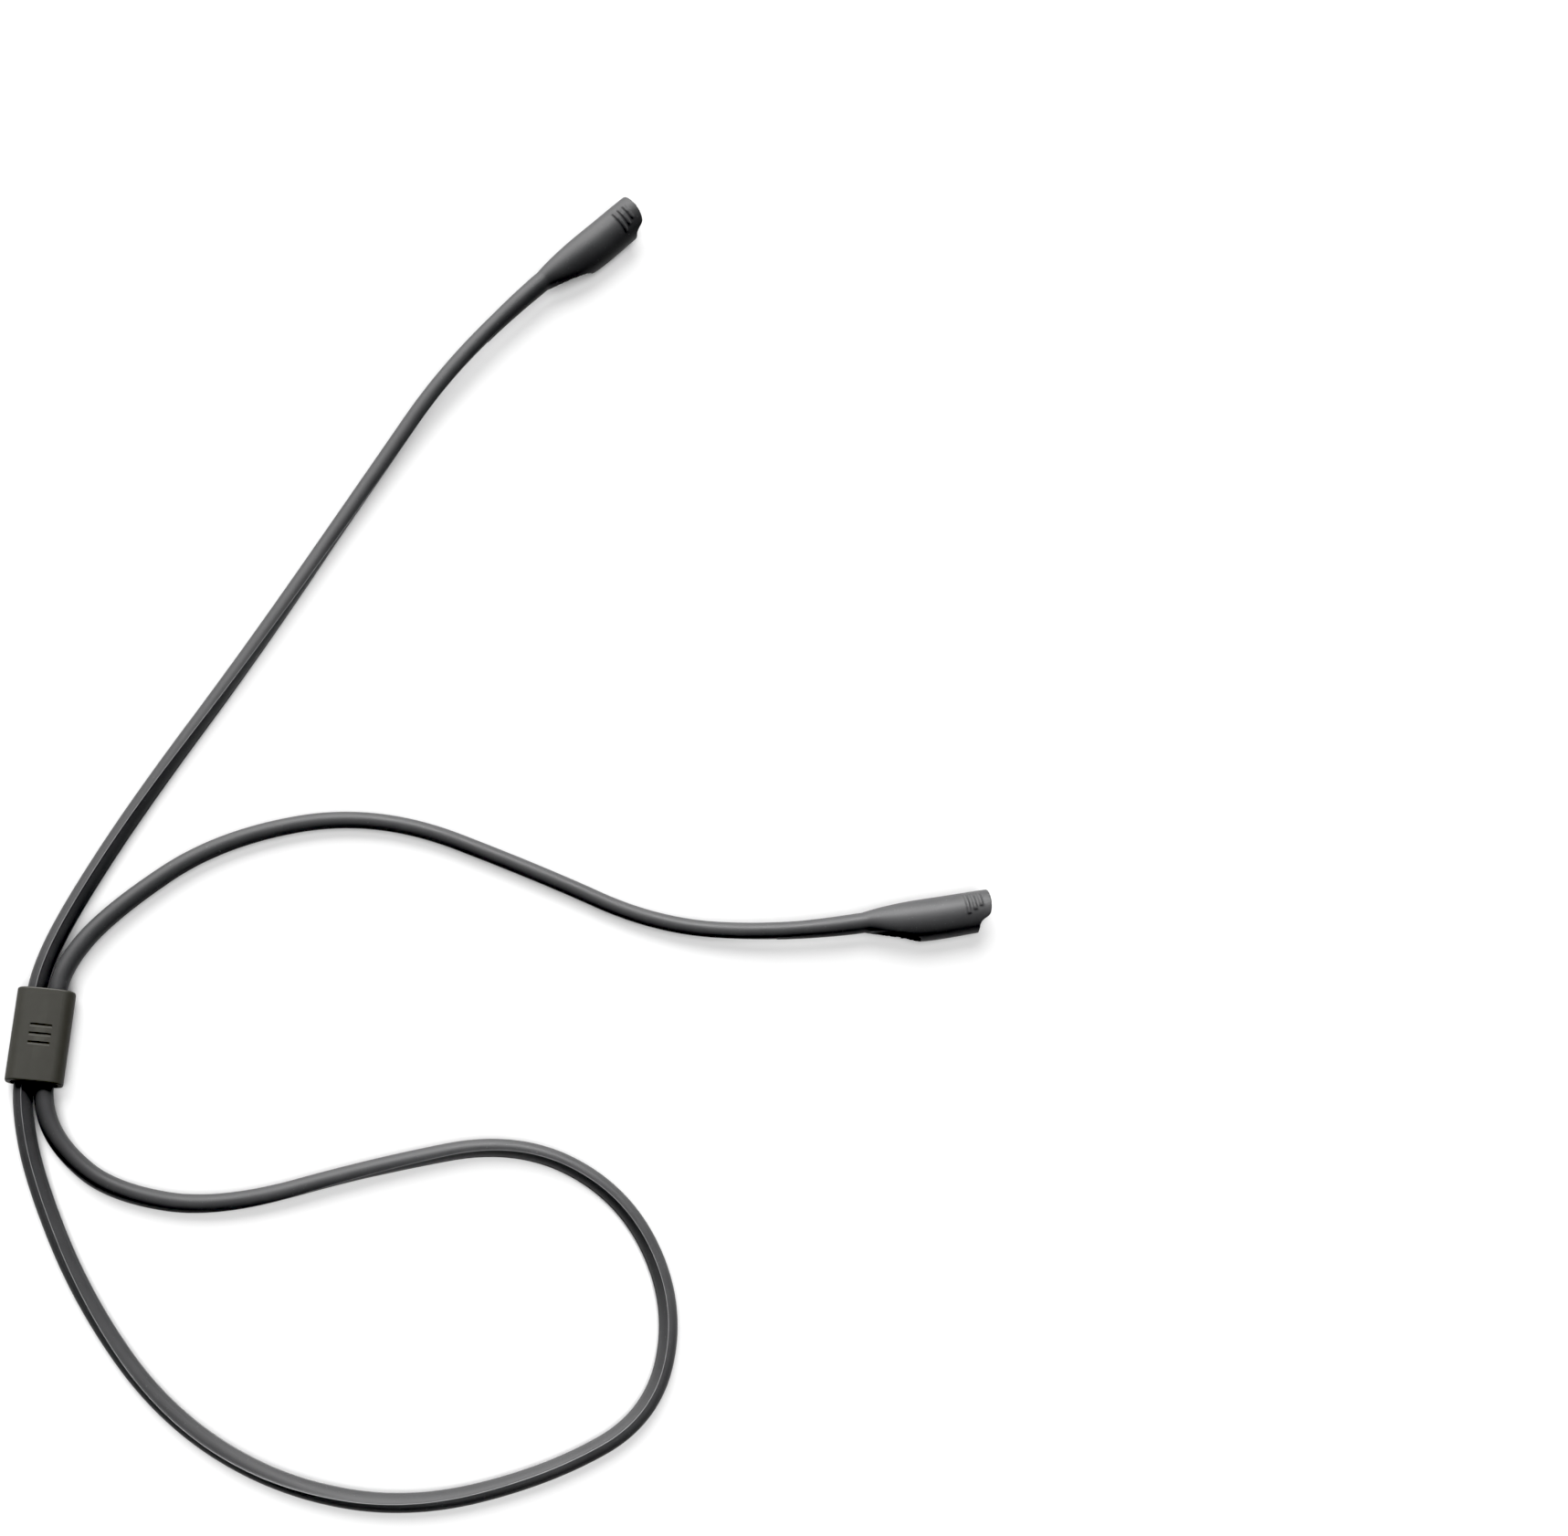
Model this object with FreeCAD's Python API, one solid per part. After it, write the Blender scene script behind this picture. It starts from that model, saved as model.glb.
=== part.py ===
"""Eyeglasses chain strap: one moulded cord with two temple sleeves and a friction slider.

The frame is in millimetres, +Z up. The strap lies flat on a surface at z = 0. The origin is on
that surface under the middle of the slider, +Y runs along the slider toward the temple sleeves,
and +X runs toward the side where the glasses lie.
"""
import FreeCAD, Part
import math
import os

from FreeCAD import Vector

# Cord
CORD_DIAMETER = 3.2
STRAND_GAP = 0.1          # free space between the two strands inside the slider
STRAND_SWAY = 0.04        # how far a strand's straight stretch wanders sideways
REST_HEIGHT = CORD_DIAMETER / 2.0
BEND_SHARE = 0.45         # part of the shorter run at a corner that its bend takes up

# Slider
SLIDER_LENGTH = 15.8
STRAIGHT_PAST_SLIDER = 3.2  # the strands run on straight this far past both ends
SLIDER_WALL_SIDE = 1.0
SLIDER_WALL_FACE = 1.1      # above the slot, at the crest of the face
SLIDER_WALL_UNDER = 0.75    # below the slot
SLOT_CLEARANCE_WIDE = 0.5   # each side, beside the pair of strands
SLOT_CLEARANCE_HIGH = 0.2   # each side, above and below the strands
SLIDER_CORNER = 2.2
SLIDER_CROWN = 0.5          # how far the face swells past its shoulders
SLIDER_EDGE = 0.3
SLOT_RIM = 0.3              # round on both rims of the slot
GRIP_COUNT = 3
GRIP_SPACING = 1.5
GRIP_WIDTH = 3.6
GRIP_RADIUS = 0.35
GRIP_DEPTH = 0.22

# Temple sleeve
SLEEVE_LENGTH = 25.5        # from the cord's end to the tip of the upper lip
SLEEVE_BACK = 3.0           # cord's axis to the back, at the mouth
SLEEVE_BELLY = 4.85         # cord's axis to the belly, at its fullest
SLEEVE_THICKNESS = 6.4      # cheek to cheek
SLEEVE_STATIONS = [         # share of the length, then how full the back, belly and cheeks are
    (0.00, 0.00, 0.00, 0.00),
    (0.04, 0.09, 0.03, 0.05),
    (0.09, 0.26, 0.14, 0.17),
    (0.16, 0.45, 0.39, 0.38),
    (0.26, 0.64, 0.71, 0.64),
    (0.38, 0.79, 0.92, 0.86),
    (0.50, 0.86, 1.00, 0.97),
    (0.70, 0.91, 0.99, 1.00),
    (1.00, 1.00, 0.95, 0.95),
]
LEFT_ROLL = 30.0            # degrees that each sleeve's belly is turned down as it lies
RIGHT_ROLL = 0.0
REST_GAP = 0.01             # free space under a sleeve as it lies
BORE_RADIUS = 2.0
BORE_TILT = 8.0             # degrees that the bore leans toward the belly
BORE_MOUTH_DROP = 0.7       # bore's axis below the cord's axis at the mouth
LIP_SETBACK = 3.0           # the lower lip ends this much behind the tip of the upper one
LIP_OUTLINE = [             # place from belly to back, then its share of the setback
    (-1.20, 1.00),
    (-0.88, 1.00),
    (-0.68, 0.93),
    (-0.54, 0.62),
    (-0.42, 0.32),
    (-0.24, 0.19),
    (0.40, 0.06),
    (1.40, 0.00),
]
RIB_COUNT = 3
RIB_WIDTH = 0.55
RIB_PITCH = 1.25
RIB_RAISE = 0.22
RIB_FROM_TIP = 2.4          # tip of the upper lip to the middle of the first rib
RIB_TOP = 2.4               # the ribs' upper ends, above the cord's axis
RIB_SHORTEST = 2.7
RIB_STEP = 0.6              # each rib farther from the mouth is longer by this

# Worked out from the sizes above
STRAND_X = (CORD_DIAMETER + STRAND_GAP) / 2.0
SLOT_WIDTH = 2.0 * (STRAND_X + CORD_DIAMETER / 2.0 + SLOT_CLEARANCE_WIDE)
SLOT_HEIGHT = CORD_DIAMETER + 2.0 * SLOT_CLEARANCE_HIGH
SLIDER_WIDTH = SLOT_WIDTH + 2.0 * SLIDER_WALL_SIDE
SLIDER_THICKNESS = SLIDER_WALL_UNDER + SLOT_HEIGHT + SLIDER_WALL_FACE
SLOT_AXIS = SLIDER_WALL_UNDER + SLOT_HEIGHT / 2.0
STRAND_END = SLIDER_LENGTH / 2.0 + STRAIGHT_PAST_SLIDER
STRAND_THIRD = STRAND_END / 3.0
STRAND_OUT = STRAND_X + STRAND_SWAY

# Tolerances
SAME_PLACE = 1e-6
LOFT_DEGREE = 3



def cord_route(left_end, right_end):
    """Points of the cord's axis from the left sleeve, through the slider and round the loop.

    The two arguments are the heights of its ends above the surface.
    """
    return [
        (69.5, 149.8, left_end),
        (56.2, 134.8, left_end),
        (42.0, 104.5, REST_HEIGHT),
        (26.0, 71.5, REST_HEIGHT),
        (11.0, 43.0, REST_HEIGHT),
        (1.9, 22.6, 2.0),
        (-STRAND_X, STRAND_END, SLOT_AXIS),
        (-STRAND_OUT, STRAND_THIRD, SLOT_AXIS),
        (-STRAND_X, -STRAND_THIRD, SLOT_AXIS),
        (-STRAND_OUT, -STRAND_END, SLOT_AXIS),
        (2.2, -23.4, 1.85),
        (12.8, -42.5, REST_HEIGHT),
        (28.0, -59.5, REST_HEIGHT),
        (47.2, -69.3, REST_HEIGHT),
        (69.0, -71.6, REST_HEIGHT),
        (91.5, -64.4, REST_HEIGHT),
        (108.2, -53.6, REST_HEIGHT),
        (110.6, -34.5, REST_HEIGHT),
        (100.2, -16.8, REST_HEIGHT),
        (81.0, -9.2, REST_HEIGHT),
        (58.0, -16.0, REST_HEIGHT),
        (32.5, -25.8, REST_HEIGHT),
        (15.0, -25.0, REST_HEIGHT),
        (5.7, -18.2, 2.1),
        (STRAND_X, -STRAND_END, SLOT_AXIS),
        (STRAND_OUT, -STRAND_THIRD, SLOT_AXIS),
        (STRAND_X, STRAND_THIRD, SLOT_AXIS),
        (STRAND_OUT, STRAND_END, SLOT_AXIS),
        (8.3, 22.7, 1.95),
        (25.0, 37.8, REST_HEIGHT),
        (51.0, 45.4, REST_HEIGHT),
        (80.0, 37.6, REST_HEIGHT),
        (102.0, 30.2, REST_HEIGHT),
        (124.0, 31.35, right_end),
        (137.5, 34.75, right_end),
    ]


def rounded_path(points):
    """Join the points with straight runs and tangent arcs; return the edges and the arc radii."""
    edges = []
    radii = []
    start = Vector(*points[0])
    for before, corner, after in zip(points, points[1:], points[2:]):
        corner = Vector(*corner)
        run_in = corner - Vector(*before)
        run_out = Vector(*after) - corner
        half_turn = run_in.getAngle(run_out) / 2.0
        trim = BEND_SHARE * min(run_in.Length, run_out.Length)
        radius = trim / math.tan(half_turn)
        into = run_in.normalize()
        out = run_out.normalize()
        first = corner - into * trim
        last = corner + out * trim
        inward = (out - into).normalize()
        middle = corner + inward * (radius / math.cos(half_turn) - radius)
        edges.append(Part.LineSegment(start, first).toShape())
        edges.append(Part.Arc(first, middle, last).toShape())
        radii.append(radius)
        start = last
    edges.append(Part.LineSegment(start, Vector(*points[-1])).toShape())
    return edges, radii


def make_cord(route):
    """Round cord swept along the whole route."""
    edges, radii = rounded_path(route)
    path = Part.Wire(edges)
    start = Vector(*route[0])
    first_run = Vector(*route[1]) - start
    section = Part.Wire(Part.Circle(start, first_run, CORD_DIAMETER / 2.0).toShape())
    cord = path.makePipeShell([section], True, False)
    area = math.pi * CORD_DIAMETER ** 2 / 4.0
    print("cord length", round(path.Length, 1), "mm")
    print("cord volume against section times length", round(cord.Volume / (area * path.Length), 4))
    print("cord radii", [round(radius, 1) for radius in radii])
    return cord


def crowned_bar(width, thickness, corner, crown, length):
    """Bar along Y with a flat underside, straight flanks, a crowned face and round corners."""
    half_width = width / 2.0
    bottom = -thickness / 2.0
    shoulder = thickness / 2.0 - crown
    y = -length / 2.0
    low_left = Vector(-half_width, y, bottom)
    high_left = Vector(-half_width, y, shoulder)
    crest = Vector(0.0, y, thickness / 2.0)
    high_right = Vector(half_width, y, shoulder)
    low_right = Vector(half_width, y, bottom)
    edges = [
        Part.LineSegment(low_left, high_left).toShape(),
        Part.Arc(high_left, crest, high_right).toShape(),
        Part.LineSegment(high_right, low_right).toShape(),
        Part.LineSegment(low_right, low_left).toShape(),
    ]
    bar = Part.Face(Part.Wire(edges)).extrude(Vector(0.0, length, 0.0))
    long_edges = [edge for edge in bar.Edges if abs(edge.CenterOfMass.y) < length / 4.0]
    return bar.makeFillet(corner, long_edges)


def oblong_bar(width, height, length):
    """Bar along Y with flat faces and round sides, centred on the origin."""
    radius = height / 2.0
    middle = width - height
    flat = Part.makeBox(middle, length, height, Vector(-middle / 2.0, -length / 2.0, -radius))
    ends = [Part.makeCylinder(radius, length, Vector(x, -length / 2.0, 0.0), Vector(0.0, 1.0, 0.0))
            for x in (-middle / 2.0, middle / 2.0)]
    return flat.multiFuse(ends).removeSplitter()


def edges_on_the_ends(bar):
    """The edges that lie in the two end faces of a bar as long as the slider."""
    half = SLIDER_LENGTH / 2.0
    return [edge for edge in bar.Edges
            if abs(abs(edge.CenterOfMass.y) - half) < SAME_PLACE]


def make_slider():
    """Oblong tube that both strands run through side by side, with grip grooves on its face."""
    body = crowned_bar(SLIDER_WIDTH, SLIDER_THICKNESS, SLIDER_CORNER, SLIDER_CROWN,
                       SLIDER_LENGTH)
    body = body.makeFillet(SLIDER_EDGE, edges_on_the_ends(body))
    body.translate(Vector(0.0, 0.0, SLIDER_THICKNESS / 2.0 - SLOT_AXIS))
    body = body.cut(oblong_bar(SLOT_WIDTH, SLOT_HEIGHT, 2.0 * SLIDER_LENGTH))
    inside = oblong_bar(SLOT_WIDTH + SLOT_RIM, SLOT_HEIGHT + SLOT_RIM, 2.0 * SLIDER_LENGTH)
    rims = [edge for edge in edges_on_the_ends(body)
            if inside.isInside(edge.Vertexes[0].Point, SAME_PLACE, True)]
    body = body.makeFillet(SLOT_RIM, rims)
    face_height = SLIDER_THICKNESS - SLOT_AXIS - GRIP_DEPTH + GRIP_RADIUS
    for index in range(GRIP_COUNT):
        y = (index - (GRIP_COUNT - 1) / 2.0) * GRIP_SPACING
        start = Vector(-GRIP_WIDTH / 2.0, y, face_height)
        groove = Part.makeCylinder(GRIP_RADIUS, GRIP_WIDTH, start, Vector(1.0, 0.0, 0.0))
        body = body.cut(groove)
    body.translate(Vector(0.0, 0.0, SLOT_AXIS))
    return body


def sleeve_loft(extra):
    """Teardrop blank of a sleeve along +X, thicker all round by the extra."""
    cord_radius = CORD_DIAMETER / 2.0
    sections = []
    for share, back_share, belly_share, cheek_share in SLEEVE_STATIONS:
        back = cord_radius + (SLEEVE_BACK - cord_radius) * back_share + extra
        belly = cord_radius + (SLEEVE_BELLY - cord_radius) * belly_share + extra
        cheek = cord_radius + (SLEEVE_THICKNESS / 2.0 - cord_radius) * cheek_share + extra
        center = Vector(share * SLEEVE_LENGTH, (back - belly) / 2.0, 0.0)
        height = (back + belly) / 2.0
        along_back = center + Vector(0.0, height, 0.0)
        along_cheek = center + Vector(0.0, 0.0, cheek)
        if height >= cheek:
            ellipse = Part.Ellipse(along_back, along_cheek, center)
        else:
            ellipse = Part.Ellipse(along_cheek, along_back, center)
        sections.append(Part.Wire(ellipse.toShape()))
    return Part.makeLoft(sections, True, False, False, LOFT_DEGREE)


def mouth_cutter():
    """Block in front of the scalloped lips, which run right across both cheeks."""
    depth = SLEEVE_THICKNESS
    outline = [Vector(SLEEVE_LENGTH - LIP_SETBACK * share,
                      place * (SLEEVE_BACK if place > 0.0 else SLEEVE_BELLY), -depth)
               for place, share in LIP_OUTLINE]
    lips = Part.BSplineCurve()
    lips.interpolate(outline)
    beyond = SLEEVE_LENGTH + LIP_SETBACK
    far_back = Vector(beyond, outline[-1].y, -depth)
    far_belly = Vector(beyond, outline[0].y, -depth)
    corners = [outline[-1], far_back, far_belly, outline[0]]
    edges = [lips.toShape()]
    edges += [Part.LineSegment(a, b).toShape() for a, b in zip(corners, corners[1:])]
    return Part.Face(Part.Wire(edges)).extrude(Vector(0.0, 0.0, 2.0 * depth))


def rib_blocks():
    """Slabs that the cheek ribs are cut from, one across both cheeks for each pair of ribs."""
    blocks = []
    for index in range(RIB_COUNT):
        length = RIB_SHORTEST + RIB_STEP * index
        middle = SLEEVE_LENGTH - RIB_FROM_TIP - RIB_PITCH * index
        corner = Vector(middle - RIB_WIDTH / 2.0, RIB_TOP - length, -SLEEVE_THICKNESS)
        blocks.append(Part.makeBox(RIB_WIDTH, length, 2.0 * SLEEVE_THICKNESS, corner))
    return blocks


def make_sleeve():
    """One temple sleeve with its cord end at the origin and its mouth toward +X."""
    body = sleeve_loft(0.0)
    raised = sleeve_loft(RIB_RAISE)
    for block in rib_blocks():
        body = body.fuse(raised.common(block))
    body = body.cut(mouth_cutter())
    tilt = math.radians(BORE_TILT)
    inward = Vector(-math.cos(tilt), -math.sin(tilt), 0.0)
    mouth = Vector(SLEEVE_LENGTH, -BORE_MOUTH_DROP, 0.0)
    bore = Part.makeCylinder(BORE_RADIUS, 2.0 * SLEEVE_LENGTH, mouth - inward * SLEEVE_LENGTH,
                             inward)
    return body.cut(bore)


def rest_height(sleeve, roll):
    """Height of the cord's axis at which a sleeve with this roll lies on the surface."""
    rolled = sleeve.copy()
    rolled.rotate(Vector(0.0, 0.0, 0.0), Vector(1.0, 0.0, 0.0), roll)
    return round(REST_GAP - rolled.optimalBoundingBox().ZMin, 2)


def place_sleeve(sleeve, roll, end, before):
    """Copy of the sleeve at a cord end, rolled, and in line with the cord's last run."""
    end = Vector(*end)
    run = end - Vector(*before)
    heading = math.degrees(math.atan2(run.y, run.x))
    placed = sleeve.copy()
    placed.rotate(Vector(0.0, 0.0, 0.0), Vector(1.0, 0.0, 0.0), roll)
    placed.rotate(Vector(0.0, 0.0, 0.0), Vector(0.0, 0.0, 1.0), heading)
    placed.translate(end)
    print("sleeve heading", round(heading, 2), "at", [round(value, 2) for value in end])
    return placed


def main():
    """Build every node and write it to its own file."""
    os.makedirs("parts", exist_ok=True)
    sleeve = make_sleeve()
    route = cord_route(rest_height(sleeve, LEFT_ROLL), rest_height(sleeve, RIGHT_ROLL))
    nodes = {
        "cord": make_cord(route),
        "slider": make_slider(),
        "left_temple_sleeve": place_sleeve(sleeve, LEFT_ROLL, route[0], route[1]),
        "right_temple_sleeve": place_sleeve(sleeve, RIGHT_ROLL, route[-1], route[-2]),
    }
    for name, shape in nodes.items():
        solid = shape.Solids[0]
        box = solid.optimalBoundingBox()
        low = [round(value, 2) for value in (box.XMin, box.YMin, box.ZMin)]
        high = [round(value, 2) for value in (box.XMax, box.YMax, box.ZMax)]
        print(name, len(shape.Solids), solid.isValid(), round(solid.Volume, 1), low, high)
        solid.exportStep(os.path.join("parts", name + ".step"))


main()
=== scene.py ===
"""Looks of an eyeglasses chain strap: a soft moulded cord, two temple sleeves and a slider.

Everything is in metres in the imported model's own frame: +Z is up off the table, +Y runs along
the slider toward the sleeves, and the origin lies on the table under the slider's middle.
"""
import logging
import math
from dataclasses import dataclass
from enum import Enum
from typing import Any, Sequence

import bmesh
import bpy
from mathutils import Matrix, Vector


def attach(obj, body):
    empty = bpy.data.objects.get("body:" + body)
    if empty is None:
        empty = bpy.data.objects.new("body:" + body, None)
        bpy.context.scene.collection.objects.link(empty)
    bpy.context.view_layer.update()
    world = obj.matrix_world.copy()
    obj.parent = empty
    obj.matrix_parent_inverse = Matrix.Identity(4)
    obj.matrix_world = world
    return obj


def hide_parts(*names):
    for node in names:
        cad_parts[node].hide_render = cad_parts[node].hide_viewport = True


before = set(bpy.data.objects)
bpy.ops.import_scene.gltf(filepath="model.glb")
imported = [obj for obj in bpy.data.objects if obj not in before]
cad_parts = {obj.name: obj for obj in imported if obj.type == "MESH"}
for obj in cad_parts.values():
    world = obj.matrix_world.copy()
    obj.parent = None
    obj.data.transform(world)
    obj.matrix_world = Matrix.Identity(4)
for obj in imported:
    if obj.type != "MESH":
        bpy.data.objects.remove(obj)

LOG = logging.getLogger("strap")
MM = 0.001
CORD_DIAMETER = 3.2 * MM
Colour = tuple[float, float, float, float]
Place = tuple[float, float, float]

# The mesh attribute that marks the cord's parting lines, and the middle of a noise's range.
PARTING = "parting"
NOISE_MIDDLE = 0.5

# The place on the table that the camera and the panels face, in millimetres.
VIEW_CENTRE_MM: Place = (123.4, 63.3, 0.0)

# The cord's route in millimetres, from the left sleeve round the loop to the right one.
ROUTE_MM: tuple[Place, ...] = (
    (69.5, 149.8, 3.90),
    (56.8, 134.5, 3.90),
    (42.0, 104.5, 1.6),
    (26.0, 71.5, 1.6),
    (11.0, 43.0, 1.6),
    (1.9, 22.6, 2.0),
    (-1.65, 11.1, 2.55),
    (-1.69, 3.7, 2.55),
    (-1.65, -3.7, 2.55),
    (-1.69, -11.1, 2.55),
    (2.2, -23.4, 1.85),
    (12.8, -42.5, 1.6),
    (28.0, -59.5, 1.6),
    (47.2, -69.3, 1.6),
    (69.0, -71.6, 1.6),
    (91.5, -64.4, 1.6),
    (108.2, -53.6, 1.6),
    (110.6, -34.5, 1.6),
    (100.2, -16.8, 1.6),
    (81.0, -9.2, 1.6),
    (58.0, -16.0, 1.6),
    (32.5, -25.8, 1.6),
    (15.0, -24.4, 1.6),
    (5.7, -18.2, 2.1),
    (1.65, -11.1, 2.55),
    (1.69, -3.7, 2.55),
    (1.65, 3.7, 2.55),
    (1.69, 12.2, 2.55),
    (8.3, 22.7, 1.95),
    (25.0, 37.8, 1.6),
    (51.1, 45.8, 1.6),
    (80.1, 38.0, 1.6),
    (102.1, 30.6, 1.6),
    (124.0, 31.35, 3.42),
    (137.5, 34.75, 3.42),
)

# Where the cord's flat side points: distance along the cord in millimetres, then degrees from
# straight up toward the left of the way it runs.
TWIST: tuple[tuple[float, float], ...] = (
    (0.0, 115.0),
    (48.0, 103.0),
    (68.0, 87.0),
    (88.0, 73.0),
    (108.0, 60.0),
    (128.0, 48.0),
    (150.0, 45.0),
    (188.0, 42.0),
    (208.0, 36.0),
    (228.0, 21.0),
    (248.0, 17.0),
    (268.0, 34.0),
    (288.0, 47.0),
    (308.0, 54.0),
    (348.0, 61.0),
    (388.0, 73.0),
    (408.0, 90.0),
    (428.0, 116.0),
    (448.0, 142.0),
    (475.0, 185.0),
    (501.0, 222.0),
    (527.0, 239.0),
    (569.0, 242.0),
    (605.0, 245.0),
    (640.0, 250.0),
)


def link(obj: bpy.types.Object) -> bpy.types.Object:
    """Put an object into the scene and return it."""
    bpy.context.scene.collection.objects.link(obj)
    return obj


def smooth_step(share: float) -> float:
    """Ease a share from 0 to 1 with level ends."""
    share = min(1.0, max(0.0, share))
    return share * share * (3.0 - 2.0 * share)


class Channel:
    """A shader value: arithmetic on it adds Math nodes to its tree."""

    def __init__(self, tree: "NodeTree", socket: bpy.types.NodeSocket) -> None:
        """Keep the tree and the output socket."""
        self.tree = tree
        self.socket = socket

    def _math(self, operation: str, first: Any, second: Any) -> "Channel":
        """Join two values with one Math operation.

        Args:
            operation: The Math node's operation.
            first: A channel or a number.
            second: A channel or a number.

        Returns:
            The result as a channel.
        """
        settings = {"operation": operation}
        return self.tree.add("ShaderNodeMath", settings, {0: first, 1: second})["Value"]

    def __add__(self, other: Any) -> "Channel":
        """Sum."""
        return self._math("ADD", self, other)

    def __radd__(self, other: Any) -> "Channel":
        """Sum with a number on the left."""
        return self._math("ADD", other, self)

    def __sub__(self, other: Any) -> "Channel":
        """Difference."""
        return self._math("SUBTRACT", self, other)

    def __rsub__(self, other: Any) -> "Channel":
        """Difference from a number on the left."""
        return self._math("SUBTRACT", other, self)

    def __mul__(self, other: Any) -> "Channel":
        """Product."""
        return self._math("MULTIPLY", self, other)

    def __rmul__(self, other: Any) -> "Channel":
        """Product with a number on the left."""
        return self._math("MULTIPLY", other, self)

    def __pow__(self, other: Any) -> "Channel":
        """Power."""
        return self._math("POWER", self, other)

    def __rpow__(self, other: Any) -> "Channel":
        """Power of a number on the left."""
        return self._math("POWER", other, self)

    def at_least(self, low: float) -> "Channel":
        """Never lower than the given number."""
        return self._math("MAXIMUM", self, low)

    def at_most(self, high: float) -> "Channel":
        """Never higher than the given number."""
        return self._math("MINIMUM", self, high)


class Outputs:
    """A placed node whose outputs are read as channels."""

    def __init__(self, tree: "NodeTree", node: bpy.types.Node) -> None:
        """Keep the tree and the node."""
        self.tree = tree
        self.node = node

    def __getitem__(self, name: str | int) -> Channel:
        """The output of that name or number."""
        return Channel(self.tree, self.node.outputs[name])


class NodeTree:
    """One material's node tree, built from calls to a single method."""

    mix_factor: int = 0
    mix_first: int = 6
    mix_second: int = 7
    mix_result: int = 2

    def __init__(self, name: str) -> None:
        """Make an empty material.

        Args:
            name: The material's name.
        """
        self.material = bpy.data.materials.new(name)
        self.material.use_nodes = True
        self.tree = self.material.node_tree
        self.tree.nodes.clear()

    def add(self, kind: str, settings: dict[str, Any], inputs: dict[Any, Any]) -> Outputs:
        """Add one node.

        Args:
            kind: The node's type.
            settings: Properties that are set first.
            inputs: Values or channels by socket name or number.

        Returns:
            The node's outputs.
        """
        node = self.tree.nodes.new(kind)
        for key, value in settings.items():
            setattr(node, key, value)
        for key, value in inputs.items():
            if isinstance(value, Channel):
                self.tree.links.new(value.socket, node.inputs[key])
            else:
                node.inputs[key].default_value = value
        return Outputs(self, node)

    def place(self) -> Channel:
        """Coordinates in metres in the object's own space."""
        return self.add("ShaderNodeTexCoord", {}, {})["Object"]

    def bump(self, height: Channel, strength: float, distance: float) -> Channel:
        """Turn a height into a surface direction.

        Args:
            height: Height from 0 to 1.
            strength: How much of it shows.
            distance: How high 1 stands, in metres.

        Returns:
            The direction for a shader's Normal.
        """
        sockets = {"Strength": strength, "Distance": distance, "Height": height}
        return self.add("ShaderNodeBump", {}, sockets)["Normal"]

    def noise(self, place: Channel, scale: float, detail: float, roughness: float) -> Channel:
        """Noise at a scale in cells per metre.

        Args:
            place: Coordinates.
            scale: Cells per metre.
            detail: Octaves.
            roughness: How strong the finer octaves are.

        Returns:
            The noise as a channel from 0 to 1.
        """
        sockets = {"Vector": place, "Scale": scale, "Detail": detail, "Roughness": roughness}
        return self.add("ShaderNodeTexNoise", {}, sockets)["Fac"]

    def mix(self, factor: Any, first: Any, second: Any) -> Channel:
        """Blend two colours.

        Args:
            factor: Share of the second colour.
            first: Colour at 0.
            second: Colour at 1.

        Returns:
            The blended colour.
        """
        sockets = {self.mix_factor: factor, self.mix_first: first, self.mix_second: second}
        return self.add("ShaderNodeMix", {"data_type": "RGBA"}, sockets)[self.mix_result]

    def finish(self, surface: Outputs) -> bpy.types.Material:
        """Send a shader to the material's output.

        Args:
            surface: The shader node.

        Returns:
            The finished material.
        """
        self.add("ShaderNodeOutputMaterial", {}, {"Surface": surface["BSDF"]})
        return self.material


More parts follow.
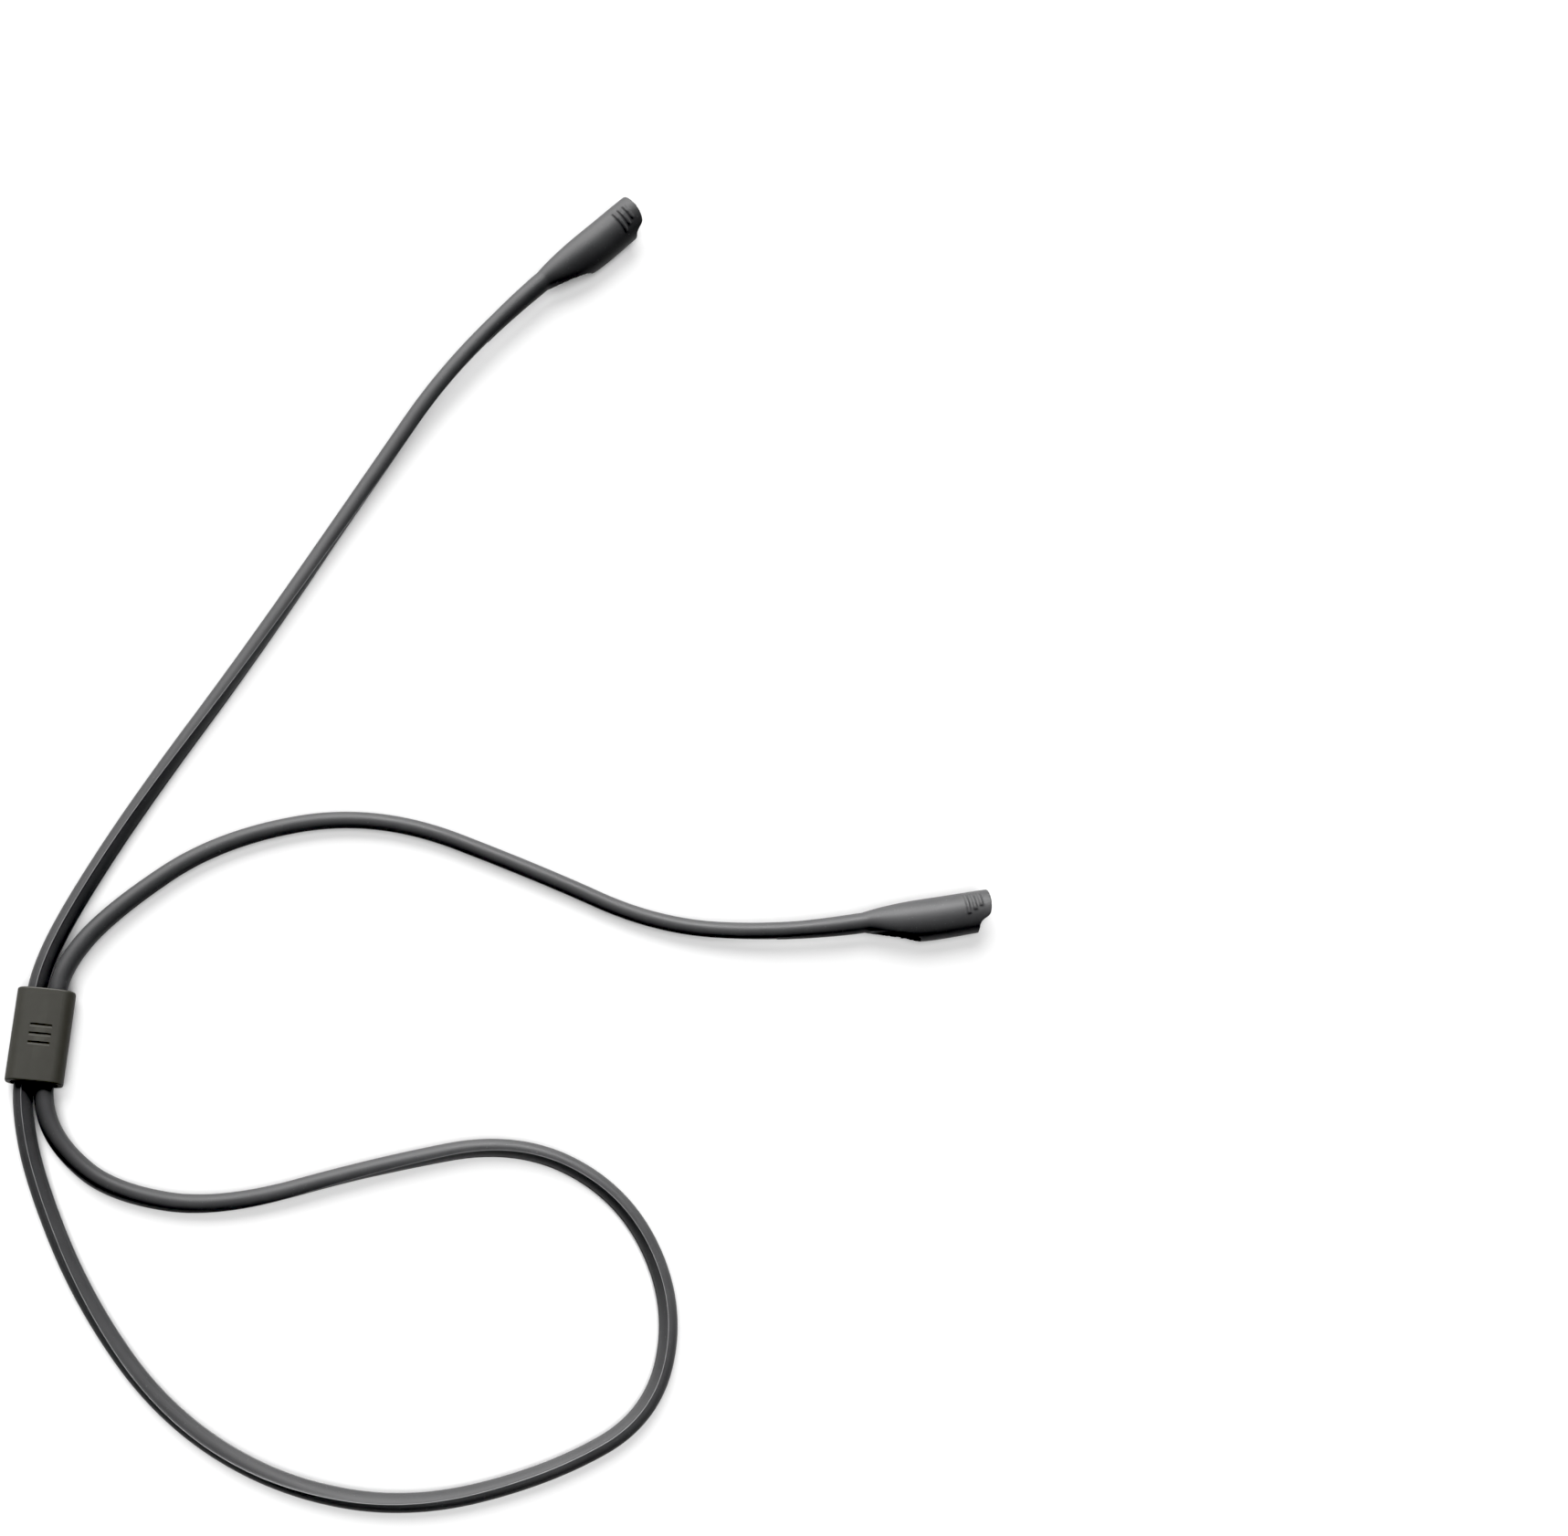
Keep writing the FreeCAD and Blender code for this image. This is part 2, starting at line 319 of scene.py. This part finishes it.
@dataclass(frozen=True)
class Silicone:
    """Matte moulded silicone with a fine grain, faint mottling and a painted highlight on the
    parting lines.

    The cord's mesh marks its parting lines; a sleeve has no such mark and shows none.
    """

    name: str
    dark: Colour = (0.030, 0.030, 0.031, 1.0)
    pale: Colour = (0.050, 0.050, 0.051, 1.0)
    # Pale grey for the specks of dust, and also painted on the parting lines as a highlight that
    # stands in for the light their raised ridge catches.
    line: Colour = (0.22, 0.22, 0.224, 1.0)
    grain_per_metre: float = 9000.0
    speck_per_metre: float = 2600.0
    mottle_per_metre: float = 260.0
    cloud_per_metre: float = 60.0
    mottle_in_tone: float = 0.6
    cloud_in_tone: float = 0.4
    grain_in_tone: float = 0.25
    speck_above: float = 0.68
    speck_gain: float = 2.0
    speck_most: float = 0.2
    # How sharp and how strong the painted highlight on the parting lines is.
    highlight_sharpness: float = 2.0
    highlight_base: float = 0.30
    cloud_in_highlight: float = 0.6
    mottle_in_highlight: float = 0.4
    highlight_most: float = 0.85
    roughness: float = 0.52
    mottle_in_roughness: float = 0.16
    grain_in_roughness: float = 0.1
    line_smoother: float = 0.12
    roughest: float = 0.9
    grain_in_height: float = 0.7
    mottle_in_height: float = 0.3
    bump_strength: float = 0.35
    bump_height: float = 0.02 * MM
    specular: float = 0.3
    refraction: float = 1.43
    sheen: float = 0.04
    sheen_roughness: float = 0.4

    def build(self) -> bpy.types.Material:
        """Make the material.

        Returns:
            The finished material.
        """
        tree = NodeTree(self.name)
        place = tree.place()
        grain = tree.noise(place, self.grain_per_metre, detail=3.0, roughness=0.6)
        mottle = tree.noise(place, self.mottle_per_metre, detail=5.0, roughness=0.55)
        cloud = tree.noise(place, self.cloud_per_metre, detail=3.0, roughness=0.5)
        speck = tree.noise(place, self.speck_per_metre, detail=2.0, roughness=0.5)
        parting = tree.add("ShaderNodeAttribute", {"attribute_name": PARTING}, {})["Fac"]
        shader = tree.add("ShaderNodeBsdfPrincipled", {}, {
            "Base Color": self._colour(tree, grain, mottle, cloud, speck, parting),
            "Roughness": (self.roughness + (mottle - NOISE_MIDDLE) * self.mottle_in_roughness
                          + (grain - NOISE_MIDDLE) * self.grain_in_roughness
                          - parting * self.line_smoother).at_most(self.roughest),
            "Normal": tree.bump(grain * self.grain_in_height + mottle * self.mottle_in_height,
                                self.bump_strength, self.bump_height),
            "Specular IOR Level": self.specular,
            "IOR": self.refraction,
            "Sheen Weight": self.sheen,
            "Sheen Roughness": self.sheen_roughness})
        return tree.finish(shader)

    def _colour(self, tree: NodeTree, grain: Channel, mottle: Channel, cloud: Channel,
                speck: Channel, parting: Channel) -> Channel:
        """Colour the silicone: two greys, a little dust, and a painted highlight on the parting
        lines.

        Args:
            tree: The material's tree.
            grain: Fine noise.
            mottle: Noise at the scale of the cord's thickness.
            cloud: Slow noise along the cord.
            speck: Noise whose peaks are specks of dust.
            parting: 1 on a parting line and 0 off it.

        Returns:
            The colour.
        """
        tone = (mottle * self.mottle_in_tone + cloud * self.cloud_in_tone
                + (grain - NOISE_MIDDLE) * self.grain_in_tone).at_least(0.0).at_most(1.0)
        body = tree.mix(tone, self.dark, self.pale)
        dust = ((speck - self.speck_above).at_least(0.0) * self.speck_gain).at_most(self.speck_most)
        dusty = tree.mix(dust, body, self.line)
        # Painted highlight: the parting lines are tinted pale so that they look lit by the key
        # light.
        painted_highlight = (parting ** self.highlight_sharpness) * (
            self.highlight_base + cloud * self.cloud_in_highlight + mottle * self.mottle_in_highlight)
        return tree.mix(painted_highlight.at_most(self.highlight_most), dusty, self.line)


@dataclass(frozen=True)
class SoftTouch:
    """Fine matte moulded plastic of the slider, slightly olive, with rubbed corners."""

    name: str
    dark: Colour = (0.0235, 0.0230, 0.0195, 1.0)
    pale: Colour = (0.0385, 0.0375, 0.0320, 1.0)
    rubbed: Colour = (0.08, 0.08, 0.07, 1.0)
    grain_per_metre: float = 6500.0
    mottle_per_metre: float = 420.0
    corner_above: float = 0.53
    corner_gain: float = 9.0
    mottle_in_tone: float = 0.55
    grain_in_tone: float = 0.45
    rubbed_base: float = 0.25
    mottle_in_rubbed: float = 0.5
    roughness: float = 0.62
    grain_in_roughness: float = 0.14
    corner_smoother: float = 0.1
    bump_strength: float = 0.5
    bump_height: float = 0.03 * MM
    specular: float = 0.35

    def build(self) -> bpy.types.Material:
        """Make the material.

        Returns:
            The finished material.
        """
        tree = NodeTree(self.name)
        place = tree.place()
        grain = tree.noise(place, self.grain_per_metre, detail=4.0, roughness=0.7)
        mottle = tree.noise(place, self.mottle_per_metre, detail=5.0, roughness=0.6)
        pointed = tree.add("ShaderNodeNewGeometry", {}, {})["Pointiness"]
        corner = ((pointed - self.corner_above) * self.corner_gain).at_least(0.0).at_most(1.0)
        tone = mottle * self.mottle_in_tone + grain * self.grain_in_tone
        body = tree.mix(tone.at_least(0.0).at_most(1.0), self.dark, self.pale)
        wear = corner * (self.rubbed_base + mottle * self.mottle_in_rubbed)
        shader = tree.add("ShaderNodeBsdfPrincipled", {}, {
            "Base Color": tree.mix(wear, body, self.rubbed),
            "Roughness": (self.roughness + (grain - NOISE_MIDDLE) * self.grain_in_roughness
                          - corner * self.corner_smoother),
            "Normal": tree.bump(grain, self.bump_strength, self.bump_height),
            "Specular IOR Level": self.specular})
        return tree.finish(shader)


@dataclass(frozen=True)
class Tabletop:
    """Plain white sweep that the strap lies on."""

    name: str
    white: Colour = (0.86, 0.86, 0.86, 1.0)
    soft: Colour = (0.83, 0.83, 0.83, 1.0)
    cloud_per_metre: float = 3.0
    roughness: float = 0.9
    specular: float = 0.1

    def build(self) -> bpy.types.Material:
        """Make the material.

        Returns:
            The finished material.
        """
        tree = NodeTree(self.name)
        cloud = tree.noise(tree.place(), self.cloud_per_metre, detail=2.0, roughness=0.5)
        shader = tree.add("ShaderNodeBsdfPrincipled", {}, {
            "Base Color": tree.mix(cloud, self.white, self.soft),
            "Roughness": self.roughness,
            "Specular IOR Level": self.specular})
        return tree.finish(shader)


@dataclass
class Section:
    """The cord's cross-section: round, with one flatter side between two raised parting lines."""

    radius: float = CORD_DIAMETER / 2.0
    flat_at: float = 1.0 * MM
    crown: float = 0.2 * MM
    flat_steps: int = 8
    round_steps: int = 30
    bead_width: float = 0.13 * MM
    bead_raise: float = 0.05 * MM
    bead_turns: tuple[float, ...] = (-0.5, 0.0, 0.5)

    def half_angle(self) -> float:
        """Half the angle that the flat side takes, seen from the middle."""
        return math.acos(self.flat_at / self.radius)

    def outline(self) -> list[Place]:
        """Points round the section.

        Returns:
            For each point its place across, its place toward the flat side, and 1 on a
            parting line or 0 off it.
        """
        half = self.half_angle()
        corner_across = self.radius * math.sin(half)
        reach = corner_across - self.bead_width
        points = []
        for step in range(self.flat_steps + 1):
            share = 2.0 * step / self.flat_steps - 1.0
            toward = self.flat_at + self.crown * (1.0 - share * share)
            points.append((reach * share, toward, 0.0))
        points += self._bead(half, 1.0)
        first = half + self.bead_width / self.radius
        for step in range(self.round_steps + 1):
            angle = first + (2.0 * math.pi - 2.0 * first) * step / self.round_steps
            points.append((self.radius * math.sin(angle), self.radius * math.cos(angle), 0.0))
        points += self._bead(half, -1.0)
        return points

    def _bead(self, half: float, side: float) -> list[Place]:
        """The raised line at one corner of the flat side.

        Args:
            half: Half angle of the flat side.
            side: 1 for the first corner, -1 for the second.

        Returns:
            Three points over the corner, in order round the section.
        """
        lean = half / 2.0
        bead = []
        for turn in self.bead_turns:
            angle = lean + turn * half
            across = self.radius * math.sin(half) + self.bead_raise * math.sin(angle)
            toward = self.flat_at + self.bead_raise * math.cos(angle)
            bead.append((side * across, toward, 1.0))
        return bead if side > 0 else bead[::-1]


@dataclass
class Cord:
    """The cord in one piece from sleeve to sleeve, twisting slowly along its length."""

    section: Section
    spline_steps: int = 28
    round_end: float = 30.0 * MM

    def control_points(self) -> list[Vector]:
        """The route's points in metres."""
        return [Vector(point) * MM for point in ROUTE_MM]

    def centreline(self) -> list[Vector]:
        """Points along the smooth spline through the route.

        Returns:
            The points in order from the left sleeve to the right one.
        """
        curve = bpy.data.curves.new("cord_route", "CURVE")
        curve.dimensions = "3D"
        curve.resolution_u = self.spline_steps
        controls = self.control_points()
        spline = curve.splines.new("NURBS")
        spline.points.add(len(controls) - 1)
        for point, place in zip(spline.points, controls):
            point.co = (*place, 1.0)
        spline.order_u = 3
        spline.use_endpoint_u = True
        holder = link(bpy.data.objects.new("cord_route", curve))
        mesh = bpy.data.meshes.new_from_object(holder)
        points = [vertex.co.copy() for vertex in mesh.vertices]
        bpy.data.objects.remove(holder)
        bpy.data.curves.remove(curve)
        bpy.data.meshes.remove(mesh)
        return points

    def build(self, line: Sequence[Vector], finish: bpy.types.Material) -> bpy.types.Object:
        """Args:
            line: The cord's centreline.
            finish: The cord's material.

        Returns:
            The cord's object.
        """
        travel = [0.0]
        for before, after in zip(line, line[1:]):
            travel.append(travel[-1] + (after - before).length)
        mesh = bmesh.new()
        layer = mesh.verts.layers.float.new(PARTING)
        rings = [self._ring(mesh, layer, line, index, travel) for index in range(len(line))]
        count = len(rings[0])
        for ring, following in zip(rings, rings[1:]):
            for side in range(count):
                after = (side + 1) % count
                mesh.faces.new((ring[side], ring[after], following[after], following[side]))
        mesh.faces.new(rings[0][::-1])
        mesh.faces.new(rings[-1])
        bmesh.ops.recalc_face_normals(mesh, faces=mesh.faces)
        data = bpy.data.meshes.new("silicone_cord")
        mesh.to_mesh(data)
        mesh.free()
        data.shade_smooth()
        data.materials.append(finish)
        cord = link(bpy.data.objects.new("silicone_cord", data))
        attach(cord, "strap")
        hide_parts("cord")
        LOG.info("cord: %.1f mm along %d rings", travel[-1] / MM, len(line))
        return cord

    def _ring(self, mesh: bmesh.types.BMesh, layer: Any, line: Sequence[Vector], index: int,
              travel: Sequence[float]) -> list[bmesh.types.BMVert]:
        """Place one ring of vertices.

        Args:
            mesh: The mesh to add to.
            layer: Where the parting mark is kept.
            line: The centreline.
            index: Which of its points the ring goes round.
            travel: Distance along the cord at each point.

        Returns:
            The ring's vertices.
        """
        before = line[max(0, index - 1)]
        after = line[min(len(line) - 1, index + 1)]
        along = (after - before).normalized()
        left = Vector((0.0, 0.0, 1.0)).cross(along).normalized()
        above = along.cross(left)
        turn = math.radians(twist_at(travel[index] / MM))
        toward = above * math.cos(turn) + left * math.sin(turn)
        across = left * math.cos(turn) - above * math.sin(turn)
        from_end = min(travel[index], travel[-1] - travel[index])
        roundness = 1.0 - smooth_step(from_end / self.round_end)
        ring = []
        for side, up, mark in self.section.outline():
            angle = math.atan2(side, up)
            side += (self.section.radius * math.sin(angle) - side) * roundness
            up += (self.section.radius * math.cos(angle) - up) * roundness
            vertex = mesh.verts.new(line[index] + across * side + toward * up)
            vertex[layer] = mark * (1.0 - roundness)
            ring.append(vertex)
        return ring


def twist_at(distance_mm: float) -> float:
    """Where the flat side points at a distance along the cord.

    Args:
        distance_mm: Distance from the left sleeve.

    Returns:
        Degrees from straight up toward the left, on a smooth curve through the listed places.
    """
    last = len(TWIST) - 2
    here = next((index for index in range(last) if distance_mm <= TWIST[index + 1][0]), last)
    start, low = TWIST[here]
    end, high = TWIST[here + 1]
    span = end - start
    share = min(1.0, max(0.0, (distance_mm - start) / span))
    eased = smooth_step(share)
    leaving = twist_slope(here) * span * share * (1.0 - share) ** 2
    arriving = twist_slope(here + 1) * span * share ** 2 * (1.0 - share)
    return low + (high - low) * eased + leaving - arriving


def twist_slope(place: int) -> float:
    """How fast the cord turns at one of the listed places.

    Args:
        place: Which row of the list.

    Returns:
        Degrees per millimetre.
    """
    before = TWIST[max(0, place - 1)]
    after = TWIST[min(len(TWIST) - 1, place + 1)]
    return (after[1] - before[1]) / (after[0] - before[0])


class Side(Enum):
    """Which end of the cord a sleeve is on."""

    LEFT = "left"
    RIGHT = "right"


@dataclass
class TempleSleeve:
    """A moulded sleeve with softened lips and ribs, made from its CAD solid."""

    side: Side
    line: Sequence[Vector]
    voxel_mm: float = 0.13
    weld_mm: float = 0.001
    soften_factor: float = 0.5
    soften_passes: int = 9
    tail_reach_mm: float = 15.0
    tail_overlap_mm: float = 2.0
    tail_thin_mm: float = 1.50
    tail_wide_mm: float = 1.84
    tail_sides: int = 64

    def node_name(self) -> str:
        """The CAD node that this sleeve stands for."""
        return f"{self.side.value}_temple_sleeve"

    def tail(self) -> list[Vector]:
        """The cord's last stretch, from the sleeve's inside back along the cord.

        Returns:
            Its points in millimetres, in order.
        """
        line = [point / MM for point in self.line]
        if self.side is Side.RIGHT:
            line.reverse()
        toward = (line[0] - line[1]).normalized()
        stretch = [line[0] + toward * self.tail_overlap_mm]
        travelled = 0.0
        for before, after in zip(line, line[1:]):
            stretch.append(before)
            travelled += (after - before).length
            if travelled > self.tail_reach_mm:
                break
        return stretch

    def build(self, finish: bpy.types.Material) -> bpy.types.Object:
        """Make the sleeve.

        Args:
            finish: The sleeve's material.

        Returns:
            The sleeve's object.
        """
        mesh = bmesh.new()
        mesh.from_mesh(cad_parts[self.node_name()].data)
        bmesh.ops.scale(mesh, vec=Vector((1.0, 1.0, 1.0)) / MM, verts=mesh.verts)
        bmesh.ops.remove_doubles(mesh, verts=mesh.verts, dist=self.weld_mm)
        self._add_tail(mesh)
        blank = bpy.data.meshes.new("sleeve_blank")
        mesh.to_mesh(blank)
        mesh.free()
        worker = link(bpy.data.objects.new("sleeve_blank", blank))
        remesh = worker.modifiers.new("remesh", "REMESH")
        remesh.mode = "VOXEL"
        remesh.voxel_size = self.voxel_mm
        soften = worker.modifiers.new("soften", "SMOOTH")
        soften.factor = self.soften_factor
        soften.iterations = self.soften_passes
        graph = bpy.context.evaluated_depsgraph_get()
        data = bpy.data.meshes.new_from_object(worker.evaluated_get(graph))
        bpy.data.objects.remove(worker)
        data.transform(Matrix.Scale(MM, 4))
        data.shade_smooth()
        data.materials.clear()
        data.materials.append(finish)
        name = f"{self.side.value}_moulded_sleeve"
        sleeve = link(bpy.data.objects.new(name, data))
        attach(sleeve, "strap")
        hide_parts(self.node_name())
        LOG.info("%s: %d faces", name, len(data.polygons))
        return sleeve

    def _add_tail(self, mesh: bmesh.types.BMesh) -> None:
        """Taper the sleeve's thin end on along the cord, so that no seam shows.

        Args:
            mesh: The sleeve's mesh, in millimetres.
        """
        stretch = self.tail()
        rings = []
        for index, point in enumerate(stretch):
            ahead = stretch[min(index + 1, len(stretch) - 1)]
            behind = stretch[max(index - 1, 0)]
            along = (ahead - behind).normalized()
            side = along.cross(Vector((0.0, 0.0, 1.0))).normalized()
            above = side.cross(along)
            share = max(0.0, (index - 1) / (len(stretch) - 2))
            radius = self.tail_wide_mm + (self.tail_thin_mm - self.tail_wide_mm) * share
            ring = []
            for step in range(self.tail_sides):
                angle = 2.0 * math.pi * step / self.tail_sides
                reach = (side * math.cos(angle) + above * math.sin(angle)) * radius
                ring.append(mesh.verts.new(point + reach))
            rings.append(ring)
        faces = [mesh.faces.new(rings[0][::-1]), mesh.faces.new(rings[-1])]
        for ring, following in zip(rings, rings[1:]):
            for step in range(self.tail_sides):
                after = (step + 1) % self.tail_sides
                corners = (ring[step], ring[after], following[after], following[step])
                faces.append(mesh.faces.new(corners))
        bmesh.ops.recalc_face_normals(mesh, faces=faces)


@dataclass
class Slider:
    """The oblong slider: its CAD shape stays and gets its finish."""

    node_name: str = "slider"

    def build(self, finish: bpy.types.Material) -> bpy.types.Object:
        """Dress the slider.

        Args:
            finish: The slider's material.

        Returns:
            The slider's object.
        """
        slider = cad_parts[self.node_name]
        slider.data.materials.clear()
        slider.data.materials.append(finish)
        LOG.info("slider: %d faces", len(slider.data.polygons))
        return slider


@dataclass(frozen=True)
class Panel:
    """A large square soft light that faces the middle of the picture."""

    name: str
    toward: Place
    size: float
    watts: float
    distance: float = 1.6


@dataclass(frozen=True)
class Beam:
    """A narrow soft-edged light on one place of the strap; its spread is in degrees."""

    name: str
    aim_mm: Place
    toward: Place
    spread: float
    watts: float
    distance: float = 0.9
    radius: float = 0.12


@dataclass(frozen=True)
class Daylight:
    """A soft light, as strong everywhere, in watts per square metre; its angle is in degrees."""

    name: str
    toward: Place
    strength: float
    angle: float = 50.0


STRAP_PANELS = (
    Panel("key", toward=(-0.42, 0.79, 0.50), size=1.4, watts=69.0),
    Panel("fill", toward=(0.60, -0.60, 0.55), size=1.2, watts=6.0),
)
STRAP_BEAMS = (
    Beam("accent", aim_mm=(114.0, 42.0, 2.0), toward=(0.10, 0.72, 0.69), spread=14.0, watts=150.0),
    Beam("lift", aim_mm=(0.0, -12.0, 3.0), toward=(-0.10, -0.50, 0.86), spread=6.0, watts=70.0),
)
TABLE_DAYLIGHTS = (
    Daylight("slanting", toward=(-0.42, 0.79, 0.95), strength=2.7),
    Daylight("overhead", toward=(0.05, -0.35, 1.0), strength=2.6),
)


@dataclass
class Studio:
    """Camera, white table and soft lights; angles are in degrees and lengths in metres."""

    aim: Vector
    distance: float = 0.5
    azimuth: float = -30.6
    elevation: float = 70.0
    roll: float = 36.0
    lens: float = 62.9
    sensor_width: float = 36.0
    nearest: float = 0.01
    farthest: float = 50.0
    table_size: float = 40.0
    table_segments: int = 8
    table_drop: float = 0.05 * MM
    backdrop_strength: float = 1.0
    black_level: float = 0.032

    def camera(self) -> bpy.types.Object:
        """Make the camera, turned in its own picture plane by the roll.

        Returns:
            The camera's object.
        """
        data = bpy.data.cameras.new("camera")
        data.sensor_width = self.sensor_width
        data.lens = self.lens
        data.clip_start = self.nearest
        data.clip_end = self.farthest
        camera = link(bpy.data.objects.new("camera", data))
        azimuth = math.radians(self.azimuth)
        elevation = math.radians(self.elevation)
        back = Vector((math.sin(azimuth) * math.cos(elevation),
                       -math.cos(azimuth) * math.cos(elevation), math.sin(elevation)))
        level = (-back).to_track_quat("-Z", "Y").to_matrix().to_4x4()
        spin = Matrix.Rotation(math.radians(self.roll), 4, "Z")
        camera.matrix_world = Matrix.Translation(self.aim + back * self.distance) @ level @ spin
        bpy.context.scene.camera = camera
        return camera

    def table(self, finish: bpy.types.Material) -> bpy.types.Object:
        """Make the table top.

        Args:
            finish: The table's material.

        Returns:
            The table's object.
        """
        mesh = bmesh.new()
        bmesh.ops.create_grid(mesh, x_segments=self.table_segments,
                              y_segments=self.table_segments, size=self.table_size / 2.0)
        data = bpy.data.meshes.new("table_top")
        mesh.to_mesh(data)
        mesh.free()
        data.materials.append(finish)
        table = link(bpy.data.objects.new("table_top", data))
        table.location = (self.aim.x, self.aim.y, -self.table_drop)
        return table

    def panel(self, panel: Panel) -> bpy.types.Object:
        """Make one square soft light.

        Args:
            panel: What it is and where it stands.

        Returns:
            The light's object.
        """
        data = bpy.data.lights.new(panel.name, "AREA")
        data.size = panel.size
        data.energy = panel.watts
        light = link(bpy.data.objects.new(panel.name, data))
        light.location = self.aim + Vector(panel.toward).normalized() * panel.distance
        self._turn(light, self.aim - light.location)
        return light

    def beam(self, beam: Beam) -> bpy.types.Object:
        """Make one narrow soft-edged light.

        Args:
            beam: What it is and where it stands.

        Returns:
            The light's object.
        """
        data = bpy.data.lights.new(beam.name, "SPOT")
        data.energy = beam.watts
        data.spot_size = math.radians(beam.spread)
        data.spot_blend = 1.0
        data.shadow_soft_size = beam.radius
        light = link(bpy.data.objects.new(beam.name, data))
        aim = Vector(beam.aim_mm) * MM
        light.location = aim + Vector(beam.toward).normalized() * beam.distance
        self._turn(light, aim - light.location)
        return light

    def daylight(self, daylight: Daylight) -> bpy.types.Object:
        """Make one light that is as strong everywhere.

        Args:
            daylight: What it is and where it comes from.

        Returns:
            The light's object.
        """
        data = bpy.data.lights.new(daylight.name, "SUN")
        data.energy = daylight.strength
        data.angle = math.radians(daylight.angle)
        light = link(bpy.data.objects.new(daylight.name, data))
        self._turn(light, -Vector(daylight.toward))
        return light

    @staticmethod
    def _turn(light: bpy.types.Object, way: Vector) -> None:
        """Turn a light to shine a given way."""
        light.rotation_mode = "QUATERNION"
        light.rotation_quaternion = way.to_track_quat("-Z", "Y")

    def keep_to(self, targets: Sequence[bpy.types.Object],
                lights: Sequence[bpy.types.Object]) -> None:
        """Let lights fall on some objects only.

        Args:
            targets: The objects that they light.
            lights: The lights.
        """
        group = bpy.data.collections.new(f"lit_by_{lights[0].name}")
        for target in targets:
            group.objects.link(target)
        for light in lights:
            light.light_linking.receiver_collection = group

    def develop(self) -> None:
        """Print with deep blacks, as a product picture is."""
        view = bpy.context.scene.view_settings
        view.view_transform = "Standard"
        view.use_curve_mapping = True
        view.curve_mapping.black_level = (self.black_level,) * 3
        view.curve_mapping.update()

    def surroundings(self) -> None:
        """Put a pale backdrop all round, which the camera sees and which lights nothing."""
        world = bpy.data.worlds.new("studio")
        world.use_nodes = True
        background = world.node_tree.nodes["Background"]
        background.inputs["Color"].default_value = (1.0, 1.0, 1.0, 1.0)
        background.inputs["Strength"].default_value = self.backdrop_strength
        world.cycles_visibility.diffuse = False
        world.cycles_visibility.glossy = False
        bpy.context.scene.world = world


def main() -> None:
    """Build the scene piece by piece."""
    logging.basicConfig(level=logging.INFO, format="%(name)s: %(message)s")
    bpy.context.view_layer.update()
    studio = Studio(aim=Vector(VIEW_CENTRE_MM) * MM)
    studio.camera()
    cord = Cord(Section())
    line = cord.centreline()
    strap = [cord.build(line, Silicone("cord_silicone").build())]
    sleeve_finish = Silicone("sleeve_silicone").build()
    strap += [TempleSleeve(side, line).build(sleeve_finish) for side in Side]
    strap.append(Slider().build(SoftTouch("slider_soft_touch").build()))
    table = studio.table(Tabletop("white_sweep").build())
    lights = [studio.panel(panel) for panel in STRAP_PANELS]
    lights += [studio.beam(beam) for beam in STRAP_BEAMS]
    studio.keep_to(strap, lights)
    studio.keep_to([table], [studio.daylight(daylight) for daylight in TABLE_DAYLIGHTS])
    studio.surroundings()
    studio.develop()


if __name__ == "__main__":
    main()
